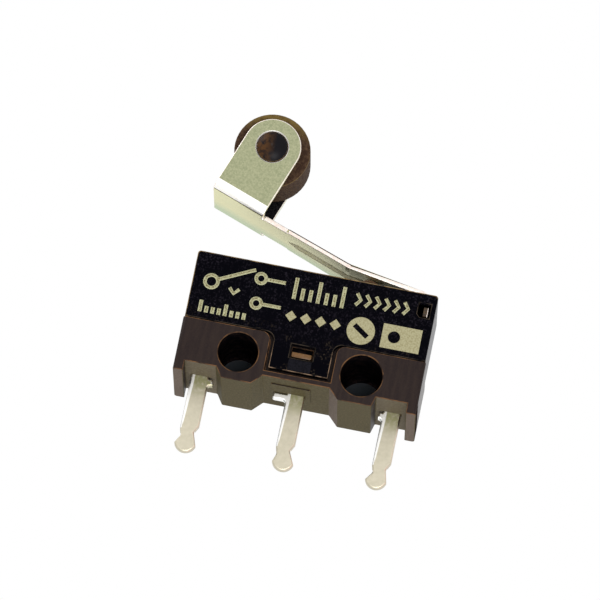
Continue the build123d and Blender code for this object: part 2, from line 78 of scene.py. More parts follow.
# Colours, linear
FLOOR_COLOUR = (0.86, 0.85, 0.82)
# Painted shade: the dark grey of the cards seen down the mounting holes
CARD_SHADE_GREY = (0.06, 0.072, 0.085)
COVER_BLACK = (0.0013, 0.0012, 0.0026)
COVER_SPECK = (0.024, 0.02, 0.029)
COVER_SCUFF = (0.06, 0.045, 0.032)
COVER_GATE = (0.0085, 0.008, 0.0118)
# Painted highlights along the cover's edges, brightest on its rounded outline
COVER_OUTLINE_HIGHLIGHT = (0.36, 0.235, 0.095)
# Painted highlight along the tongue's edges
TONGUE_EDGE_HIGHLIGHT = (0.3, 0.2, 0.13)
BASE_BROWN = (0.019, 0.0115, 0.0108)
BASE_STREAK = (0.034, 0.0215, 0.017)
# Painted highlight along the base's edges, also used for specks on the latch and plunger
EDGE_HIGHLIGHT_BROWN = (0.2, 0.1, 0.045)
# Painted light on the base's underside, lit from below
UNDER_LIT_OLIVE = (0.075, 0.06, 0.028)
UNDER_LIT_SPECK = (0.125, 0.105, 0.052)
# Painted light on the ceilings of the outer terminals' pockets
POCKET_LIT_OLIVE = (0.13, 0.105, 0.068)
POCKET_LIT_SPECK = (0.19, 0.16, 0.105)
# Painted light on the end feet and the right boss's slant
FOOT_LIT_TAUPE = (0.13, 0.098, 0.075)
FOOT_LIT_SPECK = (0.205, 0.16, 0.125)
# Painted shade down the mounting holes and behind the latches
BORE_SHADE_BLACK = (0.003, 0.003, 0.004)
# Painted highlight on the fronts of the base's latches
LATCH_HIGHLIGHT_BROWN = (0.165, 0.078, 0.02)
ROLLER_BROWN = (0.055, 0.03, 0.02)
ROLLER_SPECK = (0.115, 0.068, 0.04)
# Painted highlight along the roller's edges
ROLLER_EDGE_HIGHLIGHT = (0.2, 0.135, 0.05)
# Painted highlight on the roller's top
ROLLER_LIT_OLIVE = (0.2, 0.135, 0.042)
# Painted highlight on one side of the trunnions' ends
TRUNNION_LIT_BROWN = (0.085, 0.038, 0.013)
TRUNNION_BLACK = (0.006, 0.005, 0.007)
PLUNGER_BROWN = (0.2, 0.1, 0.05)
EAR_GREY = (0.395, 0.402, 0.247)
EAR_GRAIN = (0.285, 0.305, 0.178)
# Painted shade on the ears' inner sides, which face each other
EAR_INSIDE_SHADE = (0.02, 0.018, 0.02)
ARM_YELLOW = (0.81, 0.775, 0.45)
# Painted green reflection on the arm's underside
ARM_REFLECTION_GREEN = (0.52, 0.62, 0.4)
# Painted highlight on the outside of the bends below the ears and round the trunnion holes
BEND_HIGHLIGHT_WHITE = (1.0, 0.99, 0.97)
BEND_SHADE = (0.93, 0.9, 0.84)
# Painted light on the far wall of the bead's groove
BEAD_LIT_CREAM = (1.0, 0.94, 0.68)
# Painted shade: dark lines at the bend, along the bead and the arm's upper edges, and on the hinge wings
SHADE_LINE_BROWN = (0.1, 0.06, 0.025)
# Painted highlight on the lever's sheared edges and bevels
CUT_HIGHLIGHT_CREAM = (0.98, 0.93, 0.86)
CUT_HIGHLIGHT_PINK = (0.9, 0.74, 0.66)
TIN = (0.595, 0.548, 0.429)
TIN_DULL = (0.527, 0.489, 0.374)
TIN_GREEN = (0.36, 0.35, 0.19)
# Painted highlight on the terminals' -X sides and rounded edges
TIN_HIGHLIGHT_WHITE = (0.98, 0.97, 0.94)
# Painted reflection on the terminals' +X edges, and a painted shade line on their -X sides
TIN_REFLECTION_PINK = (0.7, 0.55, 0.43)
TIN_SHADE_TEAL = (0.2, 0.25, 0.25)
BLADE_COPPER = (0.75, 0.45, 0.22)
CONTACT_SILVER = (0.8, 0.79, 0.76)
# Painted highlight along the rims of the raised marks
MARK_RIM_HIGHLIGHT = (0.6, 0.6, 0.36)
MARK_CORE = (0.17, 0.13, 0.05)
SIGN_PALE = (0.46, 0.43, 0.255)
SIGN_DABS = (0.3, 0.26, 0.13)

# Places on the solids that the looks line up with
REAR_FACE = 2.9
HOLE_PLACE = 3.25
HOLE_REACH = 1.15
POCKET_INNER = 4.05
FOOT_INNER = 5.8
OUTLINE_END = 6.2
OUTLINE_TOP = 4.8
OUTLINE_DEPTH = 2.75
TONGUE_INNER = 1.45
TONGUE_OUTER = 1.6
LATCH_HALF_WIDTH = 0.55
GATE_FRONT = -2.87
ARM_SLOPE = radians(20.2)
ARM_EDGE = 1.4
ARM_HALF_WIDTH = 1.9
EAR_OUTSIDE = 2.19
BEND_RISE = 0.22
BEAD_HALF_WIDTH = 0.5
ROLLER_X = -3.729
ROLLER_Z = 11.371
RIM_REACH = 0.95
WING_PLACE = 5.4
WING_TOP = 4.6
FOLD_FOOT = 4.7
TERMINAL_PITCH = 5.08
NECK_PLACE = -3.6

# The painted highlight strip on the terminals, counted from each terminal's middle
STRIP_START = 0.26
STRIP_NARROWING = 0.12
STRIP_BLUR = 0.02

# Widths of the bevels
FINE_BEVEL = 0.04
ROLLER_BEVEL = 0.03
TERMINAL_BEVEL = 0.09
ARM_BEVEL = 0.07
OUTLINE_BEVEL = 0.08

# Sockets of the node that mixes two colours
MIX_SHARE = 0
MIX_COLOURS = (6, 7)
MIX_RESULT = 2


# Node helpers
def wire(tree, kind, inputs=(), **settings):
    """A new node with its settings made and its inputs set or linked."""
    made = tree.nodes.new(kind)
    for name, value in settings.items():
        setattr(made, name, value)
    for name, value in dict(inputs).items():
        socket = made.inputs[name]
        if isinstance(value, bpy.types.NodeSocket):
            tree.links.new(value, socket)
        else:
            socket.default_value = value
    return made


def maths(tree, operation, first, second):
    """The result of an operation on two numbers or sockets."""
    return wire(tree, "ShaderNodeMath", {0: first, 1: second}, operation=operation).outputs[0]


def times(tree, first, second):
    """The product of two numbers or sockets."""
    return maths(tree, "MULTIPLY", first, second)


def spread(tree, value, low, high):
    """0 where a socket's value is low and 1 where it is high."""
    limits = {"Value": value, "From Min": low, "From Max": high}
    return wire(tree, "ShaderNodeMapRange", limits).outputs["Result"]


def opaque(colour):
    """A colour with full alpha."""
    return (*colour, 1)


def millimetres(tree, stretch=(1, 1, 1)):
    """Object coordinates counted in millimetres, stretched along an axis where asked."""
    coordinates = wire(tree, "ShaderNodeTexCoord")
    scale = [factor / MM for factor in stretch]
    mapping = wire(tree, "ShaderNodeMapping", {"Vector": coordinates.outputs["Object"], "Scale": scale})
    return mapping.outputs["Vector"]


def coordinate(tree, axis):
    """An object coordinate in millimetres."""
    return wire(tree, "ShaderNodeSeparateXYZ", {"Vector": millimetres(tree)}).outputs[axis]


def along(tree, axis, start, end):
    """0 at the object coordinate start and 1 at end, along an axis."""
    return spread(tree, coordinate(tree, axis), start, end)


def grain(tree, place, size, low, high, detail=3):
    """Noise whose blotches are about the given size, spread from 0 at low to 1 at high."""
    noise = wire(tree, "ShaderNodeTexNoise", {"Vector": place, "Scale": 1 / size, "Detail": detail})
    return spread(tree, noise.outputs["Fac"], low, high)


def blend_colours(tree, share, *colours):
    """The first of two colours or sockets going over to the second by share."""
    made = tree.nodes.new("ShaderNodeMix")
    made.data_type = "RGBA"
    tree.links.new(share, made.inputs[MIX_SHARE])
    for index, value in zip(MIX_COLOURS, colours):
        if isinstance(value, bpy.types.NodeSocket):
            tree.links.new(value, made.inputs[index])
        else:
            made.inputs[index].default_value = opaque(value)
    return made.outputs[MIX_RESULT]


def finish(name, metallic=0.0, roughness=0.5, specular=0.5):
    """A new material with its shader, whose fixed numbers sit on the shader's own sockets."""
    material = bpy.data.materials.new(name)
    material.use_nodes = True
    shader = material.node_tree.nodes["Principled BSDF"]
    shader.inputs["Metallic"].default_value = metallic
    shader.inputs["Roughness"].default_value = roughness
    shader.inputs["Specular IOR Level"].default_value = specular
    return material, material.node_tree, shader


def paint(tree, shader, share, first, second):
    """Gives a shader the first colour going over to the second by share."""
    tree.links.new(blend_colours(tree, share, first, second), shader.inputs["Base Color"])


def raise_grain(tree, shader, height, depth):
    """Bump of the given depth from a height socket."""
    bump = wire(tree, "ShaderNodeBump", {"Height": height, "Distance": depth * MM, "Strength": 1.0})
    tree.links.new(bump.outputs["Normal"], shader.inputs["Normal"])


def roughen(tree, shader, place, size, depth):
    """Bump from even noise of its own."""
    raise_grain(tree, shader, grain(tree, place, size, low=0.3, high=0.7), depth)


# Finishes
def cover_finish():
    """Near-black moulding with fine violet specks, and brown scuffs low down towards the tongue."""
    material, tree, shader = finish("cover_moulding", roughness=0.5, specular=0.015)
    place = millimetres(tree)
    specks = grain(tree, place, size=0.085, low=0.52, high=0.74)
    clouds = grain(tree, place, size=1.1, low=0.3, high=0.6)
    dusted = times(tree, times(tree, specks, clouds), along(tree, "Z", start=0.3, end=2.0))
    speckled = blend_colours(tree, dusted, COVER_BLACK, COVER_SPECK)
    scratches = grain(tree, place, size=0.11, low=0.52, high=0.7)
    patches = grain(tree, place, size=0.75, low=0.5, high=0.66)
    scuffs = times(tree, times(tree, scratches, patches), along(tree, "Z", start=2.1, end=1.3))
    paint(tree, shader, scuffs, speckled, COVER_SCUFF)
    roughen(tree, shader, place, size=0.07, depth=0.003)
    return material


def base_finish():
    """Dark brown moulding with faint flow streaks across the case."""
    material, tree, shader = finish("base_moulding", roughness=0.45, specular=0.12)
    place = millimetres(tree)
    streaks = grain(tree, millimetres(tree, (2.2, 1, 0.35)), size=0.5, low=0.4, high=0.7)
    flecks = grain(tree, place, size=0.08, low=0.48, high=0.74)
    streaked = blend_colours(tree, times(tree, streaks, 0.7), BASE_BROWN, BASE_STREAK)
    paint(tree, shader, times(tree, flecks, 0.5), streaked, BASE_STREAK)
    roughen(tree, shader, place, size=0.08, depth=0.003)
    return material


def speckled_moulding(name, colour, speck, roughness, specular, size):
    """A moulding with fine specks and a slight grain."""
    material, tree, shader = finish(name, roughness=roughness, specular=specular)
    specks = grain(tree, millimetres(tree), size, low=0.42, high=0.72)
    paint(tree, shader, specks, colour, speck)
    raise_grain(tree, shader, specks, depth=0.002)
    return material


def edge_highlight(name, colour, under, roughness):
    """A painted highlight along a moulding edge, broken up so that the line isn't even."""
    material, tree, shader = finish(name, roughness=roughness, specular=0.05)
    patches = grain(tree, millimetres(tree), size=0.45, low=0.35, high=0.62)
    paint(tree, shader, patches, under, colour)
    return material


def roller_finish():
    """Dark brown moulding with a painted olive-brown highlight in patches on its top."""
    material, tree, shader = finish("roller_moulding", roughness=0.6, specular=0.02)
    place = millimetres(tree)
    mottle = grain(tree, place, size=0.16, low=0.42, high=0.72)
    brown = blend_colours(tree, mottle, ROLLER_BROWN, ROLLER_SPECK)
    # Painted highlight: olive-brown towards the top, broken up in patches
    light_patches = grain(tree, place, size=0.3, low=0.2, high=0.55)
    lit_top = times(tree, along(tree, "Z", start=12.1, end=13.1), light_patches)
    paint(tree, shader, lit_top, brown, ROLLER_LIT_OLIVE)
    roughen(tree, shader, place, size=0.07, depth=0.003)
    return material


def trunnion_finish():
    """The trunnions' ends: near-black, with a painted brown highlight on one side."""
    material, tree, shader = finish("trunnion_end", roughness=0.35, specular=0.1)
    patches = grain(tree, millimetres(tree), size=0.22, low=0.3, high=0.6)
    # Painted highlight towards the -X side, in patches
    lit_side = times(tree, along(tree, "X", start=-3.55, end=-4.1), patches)
    paint(tree, shader, lit_side, TRUNNION_BLACK, TRUNNION_LIT_BROWN)
    return material


def glossy_side(name, colour, streak):
    """A case end, polished by handling except near its foot."""
    material, tree, shader = finish(name, roughness=0.3)
    polish = times(tree, along(tree, "Z", start=-0.9, end=-0.4), 0.12)
    tree.links.new(polish, shader.inputs["Specular IOR Level"])
    cloudy = grain(tree, millimetres(tree), size=0.6, low=0.35, high=0.65)
    paint(tree, shader, cloudy, colour, streak)
    return material


def metal_finish(name, colour, grain_colour, roughness, grain_size, depth, metallic):
    """Rolled or plated sheet with fine grain in its colour and surface."""
    material, tree, shader = finish(name, metallic=metallic, roughness=roughness)
    share = grain(tree, millimetres(tree), grain_size, low=0.35, high=0.68, detail=4)
    paint(tree, shader, share, colour, grain_colour)
    raise_grain(tree, shader, share, depth)
    return material


def arm_finish():
    """Yellow-passivated sheet with a rolled grain, and a painted green reflection that grows towards its rear
    edge.
    """
    material, tree, shader = finish("arm_underside", metallic=0.85, roughness=0.38)
    rolled = millimetres(tree, (0.25, 1.6, 0.25))
    streaks = grain(tree, rolled, size=0.16, low=0.3, high=0.7, detail=4)
    # Painted reflection: green that grows towards the rear edge, broken by the grain
    green_reflection = maths(tree, "ADD", times(tree, streaks, 0.25), along(tree, "Y", start=0.2, end=1.7))
    paint(tree, shader, green_reflection, ARM_YELLOW, ARM_REFLECTION_GREEN)
    roughen(tree, shader, millimetres(tree), size=0.07, depth=0.001)
    return material


def highlight_strip(tree):
    """1 on the painted highlight strip along the -X side of every terminal, which runs out towards its tip.
    """
    from_first = maths(tree, "ADD", coordinate(tree, "X"), 1.5 * TERMINAL_PITCH)
    across = maths(tree, "FLOORED_MODULO", from_first, TERMINAL_PITCH)
    narrowing = times(tree, along(tree, "Z", start=-1.5, end=-3.8), STRIP_NARROWING)
    border = TERMINAL_PITCH / 2 - STRIP_START
    strip = spread(tree, maths(tree, "ADD", across, narrowing), border + STRIP_BLUR, border - STRIP_BLUR)
    return times(tree, strip, along(tree, "Z", start=-3.75, end=-3.5))


def tin_finish():
    """Tinned brass, dull at the tails and mottled green-grey where it leaves the case, with a painted white
    highlight strip along its -X side.
    """
    material, tree, shader = finish("terminal_tin", metallic=0.9, roughness=0.42)
    place = millimetres(tree)
    cloudy = grain(tree, place, size=0.28, low=0.35, high=0.7, detail=4)
    tail = blend_colours(tree, cloudy, TIN, TIN_DULL)
    mottle = grain(tree, place, size=0.2, low=0.25, high=0.55)
    near_case = times(tree, along(tree, "Z", start=-2.2, end=-1.3), mottle)
    mottled = blend_colours(tree, near_case, tail, TIN_GREEN)
    paint(tree, shader, highlight_strip(tree), mottled, TIN_HIGHLIGHT_WHITE)
    raise_grain(tree, shader, cloudy, depth=0.0015)
    return material


def mark_finish():
    """Raised marks with a painted pale highlight along their rims and tan on top."""
    material, tree, shader = finish("raised_marks", roughness=0.5, specular=0.2)
    dabs = grain(tree, millimetres(tree), size=0.08, low=0.3, high=0.62)
    # Painted highlight: pale at the rims, going over to tan on the top
    top = times(tree, along(tree, "Y", start=-2.872, end=-2.89), dabs)
    paint(tree, shader, top, MARK_RIM_HIGHLIGHT, MARK_CORE)
    raise_grain(tree, shader, dabs, depth=0.004)
    return material


# Painted highlights along moulding edges: name, colour, colour under it, roughness
EDGE_HIGHLIGHT_FINISHES = (
    ("cover_outline_highlight", COVER_OUTLINE_HIGHLIGHT, COVER_SCUFF, 0.4),
    ("cover_edge_highlight", COVER_SCUFF, COVER_BLACK, 0.5),
    ("tongue_edge_highlight", TONGUE_EDGE_HIGHLIGHT, COVER_BLACK, 0.4),
    ("base_edge_highlight", EDGE_HIGHLIGHT_BROWN, BASE_STREAK, 0.4),
    ("roller_edge_highlight", ROLLER_EDGE_HIGHLIGHT, ROLLER_SPECK, 0.38),
)

# Speckled mouldings: name, colour, colour of the specks, roughness, gloss, size of the specks
MOULDING_FINISHES = (
    ("gate_pad", COVER_GATE, COVER_BLACK, 0.5, 0.05, 0.1),
    ("base_under_lit", UNDER_LIT_OLIVE, UNDER_LIT_SPECK, 0.6, 0.05, 0.1),
    ("pocket_face_lit", POCKET_LIT_OLIVE, POCKET_LIT_SPECK, 0.6, 0.05, 0.1),
    ("foot_face_lit", FOOT_LIT_TAUPE, FOOT_LIT_SPECK, 0.6, 0.05, 0.1),
    ("bore_shade", BORE_SHADE_BLACK, BASE_BROWN, 0.9, 0.0, 0.4),
    ("latch_highlight", LATCH_HIGHLIGHT_BROWN, EDGE_HIGHLIGHT_BROWN, 0.4, 0.3, 0.1),
    ("plunger_moulding", PLUNGER_BROWN, EDGE_HIGHLIGHT_BROWN, 0.4, 0.3, 0.1),
    ("raised_signs", SIGN_PALE, SIGN_DABS, 0.5, 0.2, 0.09),
)

# Sheet metal: name, colour, colour of the grain, roughness, size and depth of the grain, share of metal
METAL_FINISHES = (
    ("ear_face", EAR_GREY, EAR_GRAIN, 0.42, 0.09, 0.003, 0.85),
    ("ear_inside_shade", EAR_INSIDE_SHADE, BORE_SHADE_BLACK, 0.6, 0.12, 0.002, 1.0),
    ("lit_bead_wall", BEAD_LIT_CREAM, ARM_YELLOW, 0.7, 0.1, 0.001, 0.0),
    ("shade_line", SHADE_LINE_BROWN, EAR_INSIDE_SHADE, 0.6, 0.1, 0.001, 0.5),
    ("bend_highlight", BEND_HIGHLIGHT_WHITE, BEND_SHADE, 0.5, 0.12, 0.001, 0.8),
    ("cut_edge_highlight", CUT_HIGHLIGHT_CREAM, CUT_HIGHLIGHT_PINK, 0.34, 0.16, 0.001, 0.9),
    ("terminal_edge_highlight", TIN_HIGHLIGHT_WHITE, TIN_HIGHLIGHT_WHITE, 0.3, 0.2, 0.0005, 1.0),
    ("terminal_left_shade_line", TIN_SHADE_TEAL, TIN_SHADE_TEAL, 0.5, 0.2, 0.0005, 0.5),
    ("terminal_right_edge_reflection", TIN_REFLECTION_PINK, TIN, 0.3, 0.2, 0.0005, 1.0),
    ("blade_copper", BLADE_COPPER, TIN_DULL, 0.35, 0.15, 0.001, 1.0),
    ("contact_silver", CONTACT_SILVER, TIN_DULL, 0.3, 0.1, 0.001, 1.0),
)

finishes = {
    "cover_moulding": cover_finish(),
    "cover_side": glossy_side("cover_side", COVER_BLACK, COVER_SPECK),
    "base_moulding": base_finish(),
    "base_side": glossy_side("base_side", BASE_BROWN, BASE_STREAK),
    "roller_moulding": roller_finish(),
    "trunnion_end": trunnion_finish(),
    "arm_underside": arm_finish(),
    "terminal_tin": tin_finish(),
    "raised_marks": mark_finish(),
    **{row[0]: edge_highlight(*row) for row in EDGE_HIGHLIGHT_FINISHES},
    **{row[0]: speckled_moulding(*row) for row in MOULDING_FINISHES},
    **{row[0]: metal_finish(*row) for row in METAL_FINISHES},
}


# Pieces that stand for the solids, with their sharp edges broken
MERGE_DISTANCE = 0.0005
FLAT_ANGLE = radians(0.5)
EDGE_ANGLE = radians(32)
SMOOTH_ANGLE = radians(38)
ROOM_FOR_BEVEL = 2.5
LARGE_FACE_WEIGHT = 100
EDGE_SLOT = 1


def reach_from(edge, face):
    """How far a face reaches from one of its edges."""
    direction = (edge.verts[1].co - edge.verts[0].co).normalized()
    across = face.normal.cross(direction)
    return max(abs((vert.co - edge.verts[0].co).dot(across)) for vert in face.verts)


def is_broken(edge, width):
    """Whether an edge is sharp, isn't kept so, and has room for a bevel on both sides."""
    if edge.seam or len(edge.link_faces) != 2 or edge.calc_face_angle(0) < EDGE_ANGLE:
        return False
    room = ROOM_FOR_BEVEL * (width * MM)
    return all(reach_from(edge, face) > room for face in edge.link_faces)


def bevel(shape, edges, width, segments):
    """Bevels some edges, with the new faces in the slot for edges."""
    bmesh.ops.bevel(
        shape,
        geom=edges,
        offset=width * MM,
        segments=segments,
        profile=0.5,
        affect="EDGES",
        clamp_overlap=False,
        material=EDGE_SLOT,
    )


def mark_sharp(shape):
    """Lets shading run smoothly over an edge only where its faces meet at a low angle."""
    for edge in shape.edges:
        edge.smooth = len(edge.link_faces) == 2 and edge.calc_face_angle(0) < SMOOTH_ANGLE


def broken_copy(node, width, prepare=None):
    """A copy of a solid's mesh with its flat faces whole and its sharp edges bevelled."""
    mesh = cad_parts[node].data.copy()
    mesh.materials.clear()
    shape = bmesh.new()
    shape.from_mesh(mesh)
    bmesh.ops.remove_doubles(shape, verts=shape.verts, dist=MERGE_DISTANCE * MM)
    bmesh.ops.dissolve_limit(shape, angle_limit=FLAT_ANGLE, verts=shape.verts, edges=shape.edges)
    for face in shape.faces:
        face.material_index = 0
    if prepare:
        prepare(shape)
    bevel(shape, [edge for edge in shape.edges if is_broken(edge, width)], width, segments=2)
    for face in shape.faces:
        face.smooth = True
    mark_sharp(shape)
    shape.to_mesh(mesh)
    shape.free()
    return mesh


def plain_mesh(piece):
    """The piece's mesh with its modifiers worked in."""
    depsgraph = bpy.context.evaluated_depsgraph_get()
    mesh = bpy.data.meshes.new_from_object(piece.evaluated_get(depsgraph))
    piece.modifiers.clear()
    return mesh


def dressed(node, body, surface, edge_highlight_surface, width, prepare=None):
    """A piece that stands for a node, with its edges broken by a narrow bevel in a finish of its own, painted
    as a highlight.
    """
    piece = bpy.data.objects.new(f"{node}_dressed", broken_copy(node, width, prepare))
    scene.collection.objects.link(piece)
    piece.data.materials.append(finishes[surface])
    piece.data.materials.append(finishes[edge_highlight_surface])
    normals = piece.modifiers.new("flat_faces_lead", "WEIGHTED_NORMAL")
    normals.keep_sharp = True
    normals.weight = LARGE_FACE_WEIGHT
    piece.data = plain_mesh(piece)
    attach(piece, body)
    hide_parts(node)
    return piece


ARM_UP = Vector((sin(ARM_SLOPE), 0, cos(ARM_SLOPE)))


def is_at_ear(point):
    """Whether a point lies at the outer side of an ear."""
    return abs(point.y) > EAR_OUTSIDE * MM and point.x < 0


def bend_level(points):
    """How far up from the arm the painted highlight on the ears ends, in metres."""
    return min(point.dot(ARM_UP) for point in points if is_at_ear(point)) + BEND_RISE * MM


def part_ears(shape):
    """Cuts the ears' flat sides where the painted highlight ends."""
    level = bend_level([vert.co for vert in shape.verts])
    sides = [face for face in shape.faces if is_at_ear(face.calc_center_median())]
    parts = {part for face in sides for part in (*face.verts, *face.edges, face)}
    bmesh.ops.bisect_plane(shape, geom=list(parts), plane_co=ARM_UP * level, plane_no=ARM_UP)


def is_tab_fold(edge):
    """Whether an edge lies at the fold between the arm and its tab, where a bevel would stick out."""
    return all(vert.co.x > WING_PLACE * MM and vert.co.z > FOLD_FOOT * MM for vert in edge.verts)


def middle_of(edge):
    """The middle of an edge."""
    return (edge.verts[0].co + edge.verts[1].co) / 2


def is_sheared_edge(edge):
    """Whether an edge is the upper one of the arm's sheared sides."""
    side = ARM_HALF_WIDTH * MM > abs(middle_of(edge).y) > ARM_EDGE * MM
    upper = any(face.normal.z > 0.5 for face in edge.link_faces)
    upright = any(abs(face.normal.y) > 0.7 for face in edge.link_faces)
    inner = max(vert.co.x for vert in edge.verts) < WING_PLACE * MM
    return side and upper and upright and inner


def is_outer_edge(edge):
    """Whether an edge of the cover lies on the outline of one of its two faces."""
    middle = middle_of(edge)
    outer = abs(middle.x) > OUTLINE_END * MM or middle.z > OUTLINE_TOP * MM
    return outer and abs(middle.y) > OUTLINE_DEPTH * MM


def break_first(shape, wanted, width):
    """Rounds the sharp edges that wanted picks more than the others."""
    edges = [edge for edge in shape.edges if wanted(edge) and is_broken(edge, width)]
    bevel(shape, edges, width, segments=3)


def prepare_lever(shape):
    """Parts the ears, keeps the tab's fold sharp and rounds the upper edges of the arm's sheared sides."""
    part_ears(shape)
    for edge in shape.edges:
        edge.seam = is_tab_fold(edge)
    break_first(shape, is_sheared_edge, ARM_BEVEL)


def prepare_cover(shape):
    """Rounds the outline of the cover's two faces."""
    break_first(shape, is_outer_edge, OUTLINE_BEVEL)


cover = dressed("cover", "case", "cover_moulding", "cover_edge_highlight", FINE_BEVEL, prepare_cover)
base = dressed("base", "case", "base_moulding", "base_edge_highlight", FINE_BEVEL)
lever = dressed("lever", "lever", "arm_underside", "cut_edge_highlight", FINE_BEVEL, prepare_lever)
roller = dressed("roller", "roller", "roller_moulding", "roller_edge_highlight", ROLLER_BEVEL)
terminals = [
    dressed(f"terminal_{name}", "case", "terminal_tin", "terminal_edge_highlight", TERMINAL_BEVEL)
    for name in ("common", "normally_open", "normally_closed")
]


# Finishes of single faces, picked by limits on what measures() below says of a face
def over(limit):
    """Any value above a limit."""
    return limit, inf


def under(limit):
    """Any value below a limit."""
    return -inf, limit


NO = under(0.5)
YES = over(0.5)
FLAT = 0.97
CASE_END = {"bevel": NO, "sideways": over(0.9), "side": over(OUTLINE_END)}
AT_LATCH = {"side": under(LATCH_HALF_WIDTH), "z": (0.3, 1.4)}
EAR = {"bevel": NO, "front": over(FLAT), "nearest": over(ARM_HALF_WIDTH)}
AT_WING = {"x": over(WING_PLACE), "z": under(WING_TOP)}

# A row names a finish and one or more sets of limits, of which a face has to fit one. Later rows win.
LEVER_PAINT = (
    # The ears, with painted shade on their inner sides
    ("ear_face", EAR),
    ("ear_inside_shade", {**EAR, "outward": under(0)}),
    # A painted white highlight on the outside of the bend below each ear, with the lowest part of the ear
    (
        "bend_highlight",
        {"bevel": NO, "front": (0.4, FLAT), "up": under(-0.1), "depth": over(ARM_EDGE)},
        {**EAR, "outward": over(0), "rise": under(0)},
    ),
    # A painted shade line where that bend meets the arm
    ("shade_line", {"bevel": NO, "front": (0.3, 0.4), "up": under(-0.1), "depth": over(ARM_HALF_WIDTH)}),
    # The arm's sheared sides, painted bright as a highlight
    ("cut_edge_highlight", {"bevel": NO, "front": over(0.7), "depth": under(ARM_HALF_WIDTH)}),
    # A painted highlight on the chamfer round each trunnion hole
    ("bend_highlight", {"from_roller": under(RIM_REACH), "front": (0.1, FLAT)}),
    # The walls of the bead's hollow side, painted cream as if lit from the front below
    ("lit_bead_wall", {"front": (0.15, 0.95), "up": under(0), "depth": under(BEAD_HALF_WIDTH)}),
    # Painted shade lines along the bead's hollow side and the arm's upper edges, and painted shade on the
    # wings in the hinge windows apart from their +X edge, which keeps the painted highlight of the cut edges
    (
        "shade_line",
        {"bevel": YES, "y": (-BEAD_HALF_WIDTH, 0), "up": under(0)},
        {"bevel": YES, "depth": (ARM_EDGE, ARM_HALF_WIDTH), "up": over(0.15)},
        {**AT_WING, "bevel": NO},
        {**AT_WING, "bevel": YES, "right": under(0.2)},
    ),
)
ROLLER_PAINT = (
    # The ends of the trunnions
    ("trunnion_end", {"front": over(0.5), "depth": over(ARM_HALF_WIDTH)}),
)
COVER_PAINT = (
    ("cover_side", CASE_END),
    # The rounded outline at the left end and along the top, painted as a golden highlight
    (
        "cover_outline_highlight",
        {"x": under(-OUTLINE_END), "front": (0.15, 0.6)},
        {"z": over(OUTLINE_TOP), "front": (0.3, 0.82)},
    ),
    # The bevels on the sides and the end of a tongue, painted as a highlight
    (
        "tongue_edge_highlight",
        {"bevel": YES, "side": (TONGUE_INNER, TONGUE_OUTER), "z": under(0.9)},
        {"bevel": YES, "z": under(-0.4)},
    ),
    # The gate pad below the front latch window
    ("gate_pad", {"y": under(GATE_FRONT), "side": under(TONGUE_OUTER)}),
)
BASE_PAINT = (
    # What looks down, painted lit from below, with the ends, the outer terminals' pocket ceilings and the end
    # feet
    ("base_under_lit", {"bevel": NO, "up": under(-0.5)}),
    ("base_side", CASE_END),
    ("pocket_face_lit", {"bevel": NO, "side": (POCKET_INNER, FOOT_INNER), "up": under(-0.5), "z": over(-1.6)}),
    ("foot_face_lit", {"bevel": NO, "side": over(FOOT_INNER), "up": under(-0.15)}),
    # Painted shade on the walls of the mounting holes, and on what lies behind a latch in the shade of its
    # window
    (
        "bore_shade",
        {"bevel": NO, "from_hole": under(HOLE_REACH), "front": under(0.5)},
        {**AT_LATCH, "front": under(0.9)},
    ),
    # The fronts of the latches, painted lighter as a highlight
    ("latch_highlight", {**AT_LATCH, "front": over(0.9), "z": (0.3, 0.65)}),
    # The bevels below, away from the outline of the base's two faces, painted lit from below as well
    ("base_under_lit", {"bevel": YES, "up": under(-0.3), "depth": under(OUTLINE_DEPTH)}),
    # The chamfers round the mouths of the mounting holes, painted as a highlight
    ("base_edge_highlight", {"from_hole": under(HOLE_REACH + 0.1), "front": (0.2, FLAT)}),
    # The slant on the inner side of the right boss, painted lighter as a highlight
    ("foot_face_lit", {"bevel": NO, "right": under(-0.4), "x": (1.4, 2.8), "z": under(-0.8)}),
)
TERMINAL_PAINT = (
    # A painted reflection on the rounded +X side, and on the -X side a painted highlight next to the flats
    # and a painted shade line next to the sheared side
    ("terminal_right_edge_reflection", {"right": over(0.2), "front": (0.15, FLAT)}),
    ("terminal_edge_highlight", {"right": under(-0.2), "front": (0.6, FLAT), "z": over(NECK_PLACE)}),
    ("terminal_left_shade_line", {"right": under(-0.2), "front": (0.05, 0.6), "z": over(NECK_PLACE)}),
)

ears_part = bend_level([vert.co for vert in lever.data.vertices])


def measures(mesh, face):
    """What the limits above apply to: a face's place in millimetres and the shares of its unit normal.

    Side and depth are how far its middle lies from the case's middle planes, and nearest is the least depth
    of its corners. Rise is its height above the line where the ears' painted highlight ends. Outward is
    positive where the face looks away from the middle.
    """
    x, y, z = [value / MM for value in face.center]
    right, across, up = face.normal
    corners = [mesh.vertices[index].co.y / MM for index in face.vertices]
    return {
        "x": x,
        "y": y,
        "z": z,
        "side": abs(x),
        "depth": abs(y),
        "nearest": min(abs(corner) for corner in corners),
        "from_hole": hypot(abs(x) - HOLE_PLACE, z),
        "from_roller": hypot(x - ROLLER_X, z - ROLLER_Z),
        "rise": (face.center.dot(ARM_UP) - ears_part) / MM,
        "right": right,
        "sideways": abs(right),
        "front": abs(across),
        "up": up,
        "outward": across * y,
        "bevel": face.material_index == EDGE_SLOT,
    }


def fits(measured, limits):
    """Whether every measure that limits names lies between its two ends."""
    return all(low < measured[name] < high for name, (low, high) in limits.items())


def repaint(piece, surface, ways):
    """Gives the faces that fit one of several sets of limits a finish of their own."""
    piece.data.materials.append(finishes[surface])
    index = len(piece.data.materials) - 1
    for face in piece.data.polygons:
        measured = measures(piece.data, face)
        if any(fits(measured, limits) for limits in ways):
            face.material_index = index


